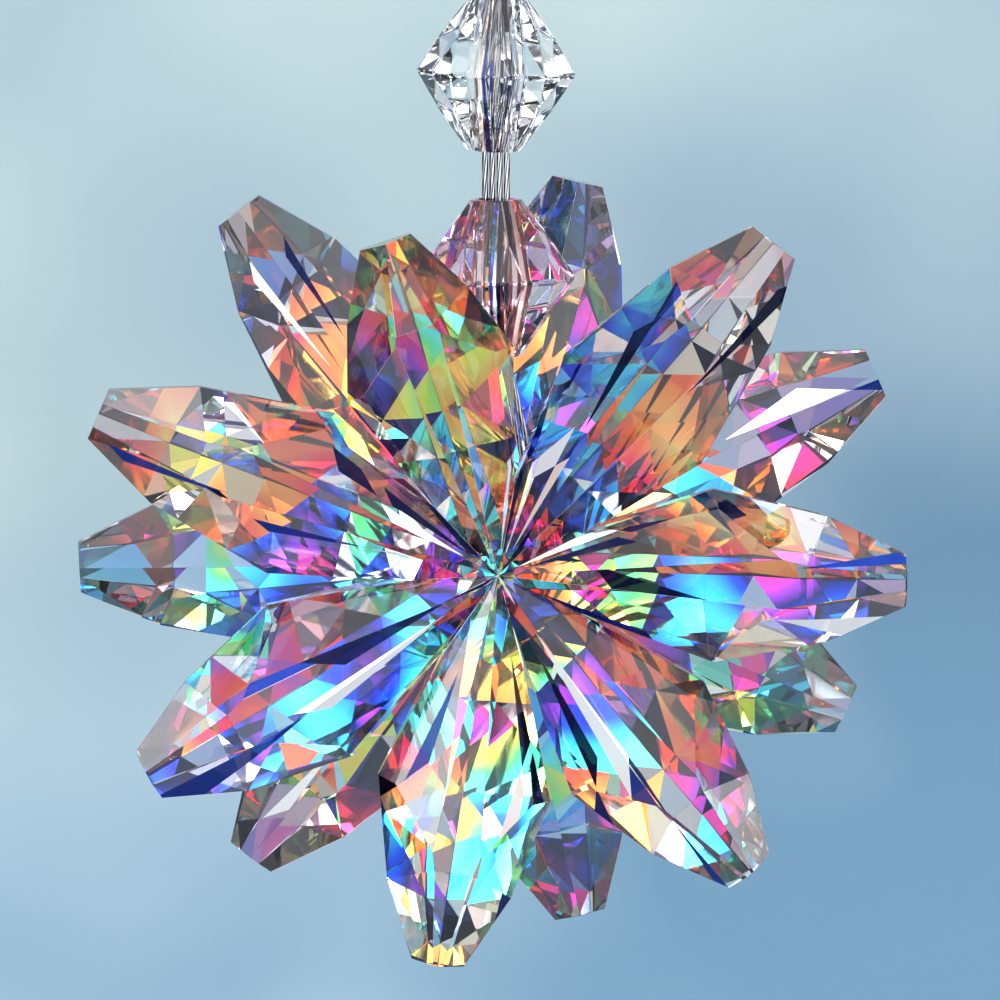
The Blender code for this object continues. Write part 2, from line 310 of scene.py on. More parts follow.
def addAurora(tree, look, strength):
    return addNode(tree, "ShaderNodeGroup", "auroraFilm", (-350, 200),
                   {"Tone": facetValue(tree, "facetTone", (-800, 200)), "Strength": strength,
                    "Drift": look["drift"], "Scale": look["driftScale"]},
                   node_tree=auroraFilm).outputs["Color"]


def buildCrystalMaterial(name, look):
    material, tree, shader = newMaterial(name)
    colour = addAurora(tree, look, facetValue(tree, "facetCoat", (-800, 0)))
    setInputs(shader, {"Base Color": colour, "Roughness": addMarks(tree, look)[0], "IOR": look["ior"],
                       "Specular IOR Level": look["gloss"], "Transmission Weight": 1.0})
    return material


def buildCoatingMaterial(name, look):
    material, tree, shader = newMaterial(name)
    strength = addRange(tree, "white or coloured", (-500, 0), facetValue(tree, "facetCoat", (-800, 0)),
                        (0.0, look["whiteBelow"]))
    setInputs(shader, {"Base Color": addAurora(tree, look, strength), "Metallic": 1.0,
                       "Roughness": addMarks(tree, look)[0], "Alpha": look["alpha"]})
    return material


def buildEdgeMaterial(name, look):
    # the narrow ground edges, slivers and chips: each is a near-white or pale pink mirror, or painted
    # shade in near black or navy
    material, tree, shader = newMaterial(name)
    tone = driftingTone(tree, facetValue(tree, "facetTone", (-1500, 200)), look["driftScale"],
                        look["drift"], -1400)
    colour = addRamp(tree, "bright or dark", (-600, 200), tone, look["stops"], "CONSTANT")
    setInputs(shader, {"Base Color": colour, "Metallic": 1.0, "Roughness": addMarks(tree, look)[0],
                       "Alpha": look["alpha"]})
    return material


starGlass = buildCrystalMaterial("starCrystal", starGlassLook)
beadGlass = buildCrystalMaterial("beadCrystal", beadGlassLook)
starCoating = buildCoatingMaterial("auroraCoating", coatingLook)
edgeMirrorOrShade = buildEdgeMaterial("edgeMirrorOrShade", edgeLook)


# stars: a copy of the frame's solid, its back ground into shallow facets, some with the coating showing
starLook = {
    "Cut Depth": 0.26 * mm,
    "Back Coat Low": 0.3,
    "Back Coat High": 1.0,
    "Front Coat Low": 0.0,
    "Coated Share": 0.88,
    "Facet Spread": 0.22,
    "Spread": 0.12,
    "Sliver Area": 2.2 * mm * mm,
    "Flash Share": 0.12,
    "Chip Share": 0.42,
    "Far Chip Share": 0.13,
    "Chip Area": 2.2 * mm * mm,
    "Bare Tip": 27.0 * mm,
}
frontStarLook = {**starLook, "Front Coat High": 0.38, "Seed": 23}
backStarLook = {**starLook, "Front Coat High": 0.42, "Seed": 18}
upperBeadLook = {
    "Cut Depth": 0.0,
    "Back Coat Low": 0.0,
    "Back Coat High": 0.25,
    "Front Coat Low": 0.0,
    "Front Coat High": 0.1,
    "Coated Share": 0.0,
    "Facet Spread": 1.0,
    "Spread": 0.3,
    "Sliver Area": 0.0,
    "Flash Share": 0.0,
    "Chip Share": 0.36,
    "Far Chip Share": 0.36,
    "Chip Area": 30.0 * mm * mm,
    "Bare Tip": 30.0 * mm,
    "Seed": 3,
}
lowerBeadLook = {
    **upperBeadLook,
    "Back Coat Low": 0.3,
    "Back Coat High": 1.0,
    "Front Coat Low": 0.1,
    "Front Coat High": 0.6,
    "Coated Share": 0.45,
    "Facet Spread": 0.5,
}
grindLook = {
    "frontBelow": 0.1,                             # a normal's Y under this looks out to the front
    "coatedFrom": 11.0 * mm,                       # from the hub: the coating thins out from here
    "chipsThin": (8.0 * mm, 17.0 * mm),            # from the hub: the chips thin out between these
    "chipSeedStep": 31.0,
}
cutLook = {
    "mergeWithin": 0.002 * mm,
    "flatWithin": math.radians(0.3),
    # direction of each arm in degrees, the film tones of its left and right parts, and how far round
    # from the middle the one meets the other
    "frontArms": ((0.3, 0.20, 0.56, 0), (51.5, 0.66, 0.20, 0), (108.4, 0.84, 0.12, -5),
                  (156.6, 0.62, 0.20, 4), (208.7, 0.62, 0.26, 0), (260.8, 0.86, 0.12, 5),
                  (310.6, 0.28, 0.64, 0)),
    "backArms": ((24.0, 0.10, 0.32, 0), (77.0, 0.56, 0.62, 0), (127.0, 0.26, 0.60, 0),
                 (183.0, 0.66, 0.58, 0), (232.4, 0.46, 0.12, 0), (283.2, 0.60, 0.40, 0),
                 (334.8, 0.36, 0.76, 0)),
    "strayEvery": 6,                               # one facet in so many leaves its arm's colours
    "strayTone": 0.45,
    "reaches": (4.6, 6.6, 8.8, 11.0, 13.4, 15.6, 17.8),      # mm from the hub
    "reachStep": 0.35,                             # mm, from one arm to the next
    "tilts": (38, -30, 44, -40, 26, -46, 34),      # degrees from square across the arm
    "sliverReach": math.radians(26),               # how far round from a sliver its cuts go
    "sliverSlant": 1.8,                            # of its outer end
}
frontSlivers = (     # direction in degrees, start and end in mm from the hub, half angle, tone; the tone picks a mirror or painted shade from the edges' ramp
    (149.0, 2.0, 6.4, 3.4, 0.48), (143.0, 1.6, 6.8, 2.6, 0.10), (84.0, 0.8, 6.0, 2.0, 0.48),
    (78.0, 0.8, 5.6, 1.8, 0.10), (72.0, 1.0, 6.2, 2.0, 0.50), (62.0, 1.4, 6.6, 2.2, 0.80),
    (24.0, 1.0, 5.8, 3.2, 0.48), (17.0, 1.2, 6.6, 2.4, 0.12), (214.5, 3.0, 11.0, 3.2, 0.48),
    (205.0, 2.8, 9.4, 4.6, 0.14), (304.0, 3.2, 11.4, 3.6, 0.48), (297.0, 3.6, 10.6, 3.0, 0.14),
    (286.0, 2.4, 7.4, 2.6, 0.80), (279.0, 4.0, 8.8, 3.6, 0.12), (247.0, 5.0, 10.2, 4.0, 0.14),
    (232.0, 2.4, 7.4, 2.4, 0.80), (337.0, 2.0, 8.4, 3.4, 0.67), (352.6, 13.6, 20.2, 8.0, 0.50),
    (166.0, 6.5, 12.0, 2.6, 0.67), (133.0, 8.0, 13.0, 2.8, 0.14), (61.0, 8.5, 14.5, 3.0, 0.12),
    (214.0, 11.4, 20.4, 5.0, 0.67), (46.0, 13.0, 20.4, 2.8, 0.12), (3.6, 14.5, 20.0, 3.0, 0.67),
    (160.6, 14.0, 19.8, 2.8, 0.67), (306.0, 14.5, 20.0, 2.6, 0.67),
)
backSlivers = (
    (26.0, 13.0, 18.4, 7.0, 0.50), (231.0, 12.5, 17.5, 4.0, 0.48), (131.0, 12.5, 18.6, 2.4, 0.80),
    (124.5, 13.0, 18.6, 2.4, 0.12),
)


def nearDirection(face, turn, reach):
    out = face.calc_center_median() - hub
    return abs((math.atan2(out.z, out.x) - turn + math.pi) % math.tau - math.pi) < reach


def alongDirection(turn):
    return Vector((math.cos(turn), 0.0, math.sin(turn)))


def cutAcross(shape, faces, point, direction):
    # each edge and corner once, in the order of the faces
    edges = dict.fromkeys(edge for face in faces for edge in face.edges)
    corners = dict.fromkeys(corner for face in faces for corner in face.verts)
    bmesh.ops.bisect_plane(shape, geom=[*corners, *edges, *faces], dist=cutLook["mergeWithin"],
                           plane_co=point, plane_no=direction)


def cutSlivers(shape, toneLayer, slivers):
    # long thin facets with the edges' mirror or painted shade, on the side that faces the front
    sliverLayer = shape.faces.layers.float["sliver"]
    for degrees, start, end, halfAngle, tone in slivers:
        turn, half = math.radians(degrees), math.radians(halfAngle)
        along = alongDirection(turn)
        across = Vector((-math.sin(turn), 0.0, math.cos(turn)))
        point = hub + along * start * mm
        tip, slant = hub + along * end * mm, along + across * cutLook["sliverSlant"]
        planes = ((point, across * math.cos(half) - along * math.sin(half)),
                  (point, across * math.cos(half) + along * math.sin(half)), (tip, slant))
        for place, direction in planes:
            cutAcross(shape, [face for face in shape.faces
                              if face.normal.y < -grindLook["frontBelow"] and face[sliverLayer] < 0.5
                              and nearDirection(face, turn, cutLook["sliverReach"])], place, direction)
        for face in shape.faces:
            middle = face.calc_center_median()
            ahead, aside = (middle - point).dot(along), abs((middle - point).dot(across))
            inside = aside < ahead * math.tan(half) and (middle - tip).dot(slant) < 0
            if face.normal.y < -grindLook["frontBelow"] and inside:
                face[toneLayer] = tone
                face[sliverLayer] = 1.0


def crossCut(piece, arms, slivers, shift, spread):
    # facets ground across each arm, on the side away from the front
    shape = bmesh.new()
    shape.from_mesh(piece.data)
    tilts = cutLook["tilts"]
    for number, arm in enumerate(arms):
        turn = math.radians(arm[0])
        for index, reach in enumerate(cutLook["reaches"]):
            tilt = tilts[(index + number + shift) % len(tilts)]
            place = hub + alongDirection(turn) * (reach + cutLook["reachStep"] * (number % 3 - 1)) * mm
            cutAcross(shape, [face for face in shape.faces if face.normal.y >= grindLook["frontBelow"]
                              and nearDirection(face, turn, math.pi / len(arms))],
                      place, alongDirection(turn + math.radians(tilt)))
    toneLayer = shape.faces.layers.float.new("armTone")
    shape.faces.layers.float.new("sliver")
    for number, face in enumerate(shape.faces):
        out = face.calc_center_median() - hub
        turn = math.degrees(math.atan2(out.z, out.x))
        degrees, leftTone, rightTone, border = min(
            arms, key=lambda arm: abs((turn - arm[0] + 180) % 360 - 180))
        onLeft = (turn - degrees + 180) % 360 > 180 + border
        stray = cutLook["strayTone"] if number % cutLook["strayEvery"] == 0 else 0.0
        face[toneLayer] = (leftTone if onLeft else rightTone) + stray - spread / 2
    cutSlivers(shape, toneLayer, slivers)
    shape.to_mesh(piece.data)
    shape.free()


# geometry node helpers
def addDraw(tree, name, place, inputs, kind="FLOAT"):
    draw = addNode(tree, "FunctionNodeRandomValue", name, place, inputs, data_type=kind)
    return draw.outputs[3] if kind == "BOOLEAN" else draw.outputs["Value"]


def addCompare(tree, name, place, first, operation, second):
    return addNode(tree, "FunctionNodeCompare", name, place, {"A": first, "B": second},
                   data_type="FLOAT", operation=operation).outputs["Result"]


def addLogic(tree, name, place, operation, *values):
    return addNode(tree, "FunctionNodeBooleanMath", name, place, dict(enumerate(values)),
                   operation=operation).outputs[0]


def addSwitch(tree, name, place, switch, whenFalse, whenTrue):
    return addNode(tree, "GeometryNodeSwitch", name, place,
                   {"Switch": switch, "False": whenFalse, "True": whenTrue},
                   input_type="FLOAT").outputs["Output"]


def readValue(tree, name, place):
    return addNode(tree, "GeometryNodeInputNamedAttribute", name, place, {"Name": name},
                   data_type="FLOAT").outputs["Attribute"]


def storeValue(tree, name, place, geometry, value, domain="FACE"):
    return addNode(tree, "GeometryNodeStoreNamedAttribute", name, place,
                   {"Geometry": geometry, "Name": name, "Value": value},
                   data_type="FLOAT", domain=domain).outputs["Geometry"]


def setMaterial(tree, name, place, geometry, material, chosen=True):
    return addNode(tree, "GeometryNodeSetMaterial", name, place,
                   {"Geometry": geometry, "Selection": chosen,
                    "Material": material}).outputs["Geometry"]


def buildFacetTree():
    # it has a number input for each setting of a look
    tree = bpy.data.node_groups.new("grindFacets", "GeometryNodeTree")
    addSockets(tree, "INPUT", "Geometry", ["Geometry"])
    addSockets(tree, "INPUT", "Float", [name for name in upperBeadLook if name != "Seed"])
    addSockets(tree, "INPUT", "Int", ["Seed"])
    addSockets(tree, "INPUT", "Material", ["Glass", "Coating", "Edge"])
    addSockets(tree, "INPUT", "Vector", ["Hub"])
    addSockets(tree, "OUTPUT", "Geometry", ["Geometry"])
    given = addNode(tree, "NodeGroupInput", "inputs", (-2100, 0)).outputs
    seed = given["Seed"]

    # a tone for each whole facet, drawn before it is divided
    sliver = readValue(tree, "sliver", (-1900, -650))
    draw = addDraw(tree, "facet draw", (-1900, -300), {"Max": given["Facet Spread"], "Seed": seed})
    free = addMath(tree, "not a sliver", (-1750, -650), "SUBTRACT", 1.0, sliver)
    leaning = addMath(tree, "leaning", (-1600, -300), "MULTIPLY_ADD", draw, free,
                      readValue(tree, "armTone", (-1900, -500)))
    toned = storeValue(tree, "facetTone", (-1400, 0), given["Geometry"], leaning)

    # the facets that look out to the front, and those that take the edges' mirror or painted shade
    normal = addNode(tree, "GeometryNodeInputNormal", "normal", (-1600, -500)).outputs["Normal"]
    split = addNode(tree, "ShaderNodeSeparateXYZ", "split", (-1450, -500), {"Vector": normal})
    isFront = addCompare(tree, "front", (-1300, -500), split.outputs["Y"], "LESS_THAN",
                         grindLook["frontBelow"])
    slot = addNode(tree, "GeometryNodeInputMaterialIndex", "material slot", (-1600, -800)).outputs[0]
    isEdge = addCompare(tree, "second slot", (-1400, -800), slot, "GREATER_THAN", 0.5)
    area = addNode(tree, "GeometryNodeInputMeshFaceArea", "area", (-1600, -950)).outputs[0]
    isSmall = addCompare(tree, "small", (-1400, -950), area, "LESS_THAN", given["Sliver Area"])
    flashDraw = addDraw(tree, "flash draw", (-1400, -1100),
                        {"Seed": seed, "Probability": given["Flash Share"]}, "BOOLEAN")
    smallFront = addLogic(tree, "small front", (-1200, -950), "AND", isSmall, isFront)
    flash = addLogic(tree, "flash", (-1050, -950), "AND", smallFront, flashDraw)
    isSliver = addCompare(tree, "is a sliver", (-1200, -1100), sliver, "GREATER_THAN", 0.5)
    either = addLogic(tree, "edge or flash", (-1050, -800), "OR", isEdge, flash)
    mirrorOrShadeNarrow = addLogic(tree, "edge, flash or sliver", (-900, -900), "OR", either, isSliver)
    hold = addNode(tree, "GeometryNodeCaptureAttribute", "hold", (-1100, 0), {"Geometry": toned},
                   domain="FACE")
    for name, value in (("Front", isFront), ("Narrow", mirrorOrShadeNarrow)):
        hold.capture_items.new("BOOLEAN", name)
        setInputs(hold, {name: value})
    front, narrow = hold.outputs["Front"], hold.outputs["Narrow"]
    triangles = addNode(tree, "GeometryNodeTriangulate", "triangles", (-850, 0),
                        {"Mesh": hold.outputs["Geometry"]})

    # the corners of the back facets are ground in by a little, each by its own depth
    isBack = addLogic(tree, "back only", (-650, -300), "NOT", front)
    depth = addDraw(tree, "depth draw", (-650, -450), {"Max": given["Cut Depth"], "Seed": seed})
    inward = addMath(tree, "inward", (-500, -450), "MULTIPLY", depth, -1.0)
    push = addNode(tree, "ShaderNodeVectorMath", "push", (-350, -450), {0: normal, "Scale": inward},
                   operation="SCALE").outputs[0]
    grind = addNode(tree, "GeometryNodeSetPosition", "grind", (-200, 0),
                    {"Geometry": triangles.outputs["Mesh"], "Selection": isBack, "Offset": push})

    # their parts drift from the tone of the whole facet
    wholeTone = readValue(tree, "facetTone", (0, -300))
    smallDraw = addDraw(tree, "small draw", (0, -450), {"Seed": seed})
    drifted = addMath(tree, "drifted", (200, -400), "MULTIPLY_ADD", smallDraw, given["Spread"],
                      wholeTone)
    tone = addSwitch(tree, "tone", (400, -300), front, drifted, wholeTone)
    retoned = storeValue(tree, "facetTone", (600, 0), grind.outputs["Geometry"], tone)

    # how much of the film's colour lies on a facet
    backCoat = addDraw(tree, "back film", (400, -650),
                       {"Min": given["Back Coat Low"], "Max": given["Back Coat High"]})
    frontCoat = addRange(tree, "front film", (400, -850), wholeTone, (0.0, 1.0),
                         (given["Front Coat Low"], given["Front Coat High"]))
    coat = addSwitch(tree, "film", (650, -500), front, backCoat, frontCoat)
    filmed = storeValue(tree, "facetCoat", (850, 0), retoned, coat)

    # some of the back facets show the coating itself, fewer of them towards the tips
    place = addNode(tree, "GeometryNodeInputPosition", "place", (450, -1000)).outputs[0]
    fromHub = addNode(tree, "ShaderNodeVectorMath", "from hub", (600, -1000),
                      {0: place, 1: given["Hub"]}, operation="DISTANCE").outputs["Value"]
    coatedShare = addRange(tree, "bare towards the tips", (750, -1000), fromHub,
                           (grindLook["coatedFrom"], given["Bare Tip"]), (given["Coated Share"], 0.0),
                           "SMOOTHERSTEP")
    coatedDraw = addDraw(tree, "coated draw", (900, -700),
                         {"Seed": seed, "Probability": coatedShare}, "BOOLEAN")
    coated = addLogic(tree, "coated", (1050, -500), "AND", coatedDraw, isBack)

    # and some of the smallest are chips with the edges' mirror or painted shade
    chipSeed = addMath(tree, "chip seed", (900, -850), "ADD", seed, grindLook["chipSeedStep"])
    chipShare = addRange(tree, "more near the hub", (900, -1050), fromHub, grindLook["chipsThin"],
                         (given["Chip Share"], given["Far Chip Share"]))
    chipDraw = addDraw(tree, "chip draw", (1050, -800),
                       {"Seed": chipSeed, "Probability": chipShare}, "BOOLEAN")
    isLittle = addCompare(tree, "little", (1200, -1000), area, "LESS_THAN", given["Chip Area"])
    littleBack = addLogic(tree, "little back facet", (1250, -850), "AND", isLittle, isBack)
    chip = addLogic(tree, "chip", (1350, -700), "AND", chipDraw, littleBack)
    mirrorOrShadeFaces = addLogic(tree, "edge or chip", (1450, -500), "OR", narrow, chip)

    real = addNode(tree, "GeometryNodeRealizeInstances", "real", (1100, 0), {"Geometry": filmed})
    glass = setMaterial(tree, "glass", (1300, 0), real.outputs["Geometry"], given["Glass"])
    coating = setMaterial(tree, "coating", (1500, 0), glass, given["Coating"], coated)
    edges = setMaterial(tree, "edges", (1700, 0), coating, given["Edge"], mirrorOrShadeFaces)
    addNode(tree, "NodeGroupOutput", "outputs", (1900, 0), {"Geometry": edges})
    return tree


facetTree = buildFacetTree()


def addTree(piece, name, tree, values):
    modifier = piece.modifiers.new(name, "NODES")
    modifier.node_group = tree
    sockets = {item.name: item.identifier for item in tree.interface.items_tree
               if item.item_type == "SOCKET" and item.in_out == "INPUT"}
    for socket, value in values.items():
        modifier[sockets[socket]] = value


def bakePiece(piece, name):
    # the finished shape as a plain mesh, in an object of its own
    bpy.context.view_layer.update()
    graph = bpy.context.evaluated_depsgraph_get()
    mesh = bpy.data.meshes.new_from_object(piece.evaluated_get(graph), preserve_all_data_layers=True,
                                           depsgraph=graph)
    bpy.data.objects.remove(piece)
    mesh.name = name
    return addObject(name, mesh)


def mergedCopy(node):
    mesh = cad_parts[node].data.copy()
    mesh.materials.clear()
    shape = bmesh.new()
    shape.from_mesh(mesh)
    bmesh.ops.remove_doubles(shape, verts=shape.verts[:], dist=cutLook["mergeWithin"])
    bmesh.ops.dissolve_limit(shape, angle_limit=cutLook["flatWithin"], verts=shape.verts[:],
                             edges=shape.edges[:])
    shape.to_mesh(mesh)
    shape.free()
    return addObject(node + "_copy", mesh)


def cutCrystal(node, name, look, glass, arms=None, slivers=()):
    blank = mergedCopy(node)
    if arms:
        crossCut(blank, arms, slivers, look["Seed"], look["Facet Spread"] + look["Spread"])
    bevel = blank.modifiers.new("edges", "BEVEL")
    bevel.width = edgeLook["bevel"] if arms else edgeLook["beadBevel"]
    bevel.segments = 1
    bevel.limit_method = "ANGLE"
    bevel.angle_limit = edgeLook["angle"]
    blank.data.materials.append(glass)
    blank.data.materials.append(edgeMirrorOrShade)
    bevel.material = 1 if arms else 0
    addTree(blank, "facets", facetTree,
            {**look, "Glass": glass, "Coating": starCoating, "Edge": edgeMirrorOrShade, "Hub": hub})
    crystal = bakePiece(blank, name)
    crystal.data.shade_flat()
    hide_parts(node)
    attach(crystal, "root")
    print(name, len(crystal.data.polygons), "faces")


cutCrystal("front_star", "frontStarCrystal", frontStarLook, starGlass,
           cutLook["frontArms"], frontSlivers)
cutCrystal("back_star", "backStarCrystal", backStarLook, starGlass,
           cutLook["backArms"], backSlivers)
cutCrystal("lower_bead", "lowerBeadCrystal", lowerBeadLook, beadGlass)
cutCrystal("upper_bead", "upperBeadCrystal", upperBeadLook, beadGlass)
print("crystals cut")


# wires: steel threads laid round a core, along the closed ring that carries the stars and makes the eye
wireMetalLook = {
    "bright": (0.98, 0.98, 1.0, 1.0),
    # the dark colour of the painted shade in the grooves and between the strands, and of the stain
    "groove": (0.02, 0.02, 0.05, 1.0),
    "roughness": 0.10,
    "stainScale": 500.0,
    "wear": 0.25,
    "bump": 0.15,
    "between": 1.0,                # painted shade between the strands, on their sides, where they lie side by side
}
crimpLook = {
    "bright": (0.88, 0.88, 0.90, 1.0),
    "groove": (0.45, 0.44, 0.46, 1.0),
    "roughness": 0.16,
    "stainScale": 900.0,
    "wear": 0.5,
    "bump": 0.3,
    "between": 0.0,
    "wall": 0.26 * mm,
    "soften": 0.07 * mm,
    "dent": 0.12 * mm,
    "dentHeights": (-0.42, 0.42),      # as shares of half the length
    "dentSpread": 0.22,
    "sharpAngle": math.radians(50),
    "sides": 56,
    "rings": 33,
}
stainAndShadeLook = {         # stain and painted shade settings, the same on both metals
    "stainFrom": (0.35, 0.75),
    "stainMost": 0.25,
    "strandSide": (0.62, 0.90),        # how far a surface turns sideways, from no painted shade to full
    "bundle": 2.1 * wireLook["pitch"],
    "bumpDistance": 0.02 * mm,
}


def buildMetalMaterial(name, look):
    material, tree, shader = newMaterial(name)
    place = objectPlace(tree, (-1400, 100))
    stain = addNoise(tree, "stain", (-1000, 100), place, look["stainScale"], 3.0)
    faint = addRange(tree, "faint stain", (-800, 100), stain, stainAndShadeLook["stainFrom"],
                     (0.0, stainAndShadeLook["stainMost"]))
    normal = addNode(tree, "ShaderNodeNewGeometry", "surface", (-1400, 600)).outputs["Normal"]
    facing = addNode(tree, "ShaderNodeSeparateXYZ", "facing", (-1200, 600), {0: normal})
    sideways = addMath(tree, "sideways", (-1050, 600), "ABSOLUTE", facing.outputs["X"])
    side = addRange(tree, "sides of a strand", (-900, 600), sideways, stainAndShadeLook["strandSide"],
                    (0.0, look["between"]))
    spot = addNode(tree, "ShaderNodeSeparateXYZ", "spot", (-1200, 800), {0: place})
    across = addMath(tree, "across", (-1050, 800), "ABSOLUTE", spot.outputs["X"])
    bundle = addMath(tree, "in the bundle", (-900, 800), "LESS_THAN", across, stainAndShadeLook["bundle"])
    stainAndSideShade = addMath(tree, "between the strands", (-750, 700), "MULTIPLY_ADD", side, bundle, faint)
    # painted shade in the grooves between the threads and on the strands' sides, with the faint stain,
    # takes the metal towards its dark colour
    deep = addMath(tree, "painted groove shade and stain", (-600, 250), "ADD",
                   facetValue(tree, "groove", (-1000, 400)), stainAndSideShade, use_clamp=True)
    rough, height = addMarks(tree, look)
    bump = addNode(tree, "ShaderNodeBump", "bump", (-350, -450),
                   {"Height": height, "Strength": look["bump"], "Distance": stainAndShadeLook["bumpDistance"]})
    colour = addMix(tree, "metal colour", (-350, 200), deep, look["bright"], look["groove"])
    setInputs(shader, {"Base Color": colour, "Metallic": 1.0, "Roughness": rough,
                       "Normal": bump.outputs["Normal"]})
    return material


def buildLayTree():
    tree = bpy.data.node_groups.new("laidWire", "GeometryNodeTree")
    addSockets(tree, "INPUT", "Geometry", ["Geometry"])
    addSockets(tree, "INPUT", "Float", ["Radius", "Lay Length", "Lay Depth", "Step"])
    addSockets(tree, "INPUT", "Int", ["Strands", "Sides"])
    addSockets(tree, "INPUT", "Material", ["Material"])
    addSockets(tree, "OUTPUT", "Geometry", ["Geometry"])
    given = addNode(tree, "NodeGroupInput", "inputs", (-1400, 0)).outputs
    even = addNode(tree, "GeometryNodeResampleCurve", "even steps", (-1100, 200),
                   {"Curve": given["Geometry"], "Length": given["Step"]}, mode="LENGTH")

    # whole turns along the ring, so that the threads meet where it closes
    along = addNode(tree, "GeometryNodeSplineParameter", "along", (-1100, -100)).outputs["Factor"]
    whole = addNode(tree, "GeometryNodeSplineLength", "whole length", (-1100, -250)).outputs["Length"]
    turns = addMath(tree, "turns", (-900, -250), "DIVIDE", whole, given["Lay Length"])
    wholeTurns = addMath(tree, "whole turns", (-750, -250), "ROUND", turns)
    angle = addMath(tree, "turned", (-600, -200), "MULTIPLY", wholeTurns, math.tau)
    tilt = addMath(tree, "tilt", (-450, -100), "MULTIPLY", angle, along)
    twist = addNode(tree, "GeometryNodeSetCurveTilt", "twist", (-250, 200),
                    {"Curve": even.outputs["Curve"], "Tilt": tilt})

    # the section: one bulge for each thread
    circle = addNode(tree, "GeometryNodeCurvePrimitiveCircle", "section", (-1100, -500),
                     {"Resolution": given["Sides"], "Radius": given["Radius"]})
    index = addNode(tree, "GeometryNodeInputIndex", "index", (-1100, -700)).outputs[0]
    share = addMath(tree, "share", (-950, -700), "DIVIDE", index, given["Sides"])
    threads = addMath(tree, "threads", (-800, -700), "MULTIPLY", share, given["Strands"])
    half = addMath(tree, "half turns", (-650, -700), "MULTIPLY", threads, math.pi)
    wave = addMath(tree, "wave", (-500, -700), "COSINE", half)
    fold = addMath(tree, "fold", (-350, -700), "ABSOLUTE", wave)
    deep = addMath(tree, "deep", (-200, -700), "POWER", fold, wireLook["grooveSharpness"])
    sink = addMath(tree, "sink", (-50, -700), "MULTIPLY", deep, given["Lay Depth"])
    back = addMath(tree, "back", (100, -700), "MULTIPLY", sink, -1.0)
    place = addNode(tree, "GeometryNodeInputPosition", "place", (100, -900)).outputs[0]
    offset = addNode(tree, "ShaderNodeVectorMath", "offset", (250, -700), {0: place, "Scale": back},
                     operation="SCALE")
    # the groove depth is kept for the material, which paints shade into the grooves
    marked = storeValue(tree, "groove", (-50, -450), circle.outputs["Curve"], deep, "POINT")
    lobes = addNode(tree, "GeometryNodeSetPosition", "lobes", (400, -400),
                    {"Geometry": marked, "Offset": offset.outputs[0]})
    sweep = addNode(tree, "GeometryNodeCurveToMesh", "sweep", (550, 100),
                    {"Curve": twist.outputs["Curve"], "Profile Curve": lobes.outputs["Geometry"]})
    real = addNode(tree, "GeometryNodeRealizeInstances", "real", (700, 100),
                   {"Geometry": sweep.outputs[0]})
    finish = setMaterial(tree, "finish", (850, 100), real.outputs[0], given["Material"])
    addNode(tree, "NodeGroupOutput", "outputs", (1000, 0), {"Geometry": finish})
    return tree


def arcPoints(centreZ, radius, strandX, strandZ):
    # from where the strand meets the ring, round the far side, to the middle
    reach = math.hypot(strandX, strandZ - centreZ)
    start = math.atan2(strandX, abs(strandZ - centreZ)) + math.acos(radius / reach)
    upward = 1 if strandZ > centreZ else -1
    points = []
    for index in range(wireLook["arcSteps"] + 1):
        angle = start + (math.pi - start) * index / wireLook["arcSteps"]
        points.append(Vector((radius * math.sin(angle), centreZ + upward * radius * math.cos(angle))))
    return points


def bendPoints(before, corner, after):
    enter = corner + (before - corner).normalized() * wireLook["bend"]
    leave = corner + (after - corner).normalized() * wireLook["bend"]
    points = []
    for step in range(wireLook["bendSteps"] + 1):
        share = step / wireLook["bendSteps"]
        points.append(enter * (1 - share) ** 2 + corner * 2 * share * (1 - share) + leave * share ** 2)
    return points


def ringRoute(strandX, layer):
    # the right half from the waist up to the eye, and its mirror image
    waistRadius = wireLook["waistRadius"] + layer * wireLook["pitch"]
    eyeRadius = wireLook["eyeInnerRadius"] + wireLook["radius"] + layer * wireLook["pitch"]
    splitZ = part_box("lower_bead")[0].z
    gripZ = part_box("crimp_tube")[1].z
    waist = arcPoints(hub.z, waistRadius, strandX, splitZ)
    eye = arcPoints(-wireLook["eyeInnerRadius"], eyeRadius, strandX, gripZ)
    low, high = Vector((strandX, splitZ)), Vector((strandX, gripZ))
    right = waist[::-1] + bendPoints(waist[0], low, high) + bendPoints(low, high, eye[0]) + eye
    left = [Vector((-point.x, point.y)) for point in right[-2:0:-1]]
    return right + left


def buildWire(node, name, strandX, layer):
    curve = bpy.data.curves.new(name + "Path", "CURVE")
    curve.dimensions = "3D"
    route = ringRoute(strandX, layer)
    spline = curve.splines.new("POLY")
    spline.points.add(len(route) - 1)
    for point, place in zip(spline.points, route):
        point.co = (place.x, 0.0, place.y, 1.0)
    spline.use_cyclic_u = True
    path = addObject(name + "Path", curve)
    addTree(path, "lay", layTree, {
        "Radius": wireLook["radius"], "Lay Length": wireLook["layLength"],
        "Lay Depth": wireLook["layDepth"], "Step": wireLook["step"], "Strands": wireLook["strands"],
        "Sides": wireLook["sides"], "Material": wireMetal})
    wire = bakePiece(path, name)
    wire.data.shade_smooth()
    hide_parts(node)
    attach(wire, "root")
    print(name, len(wire.data.polygons), "faces")


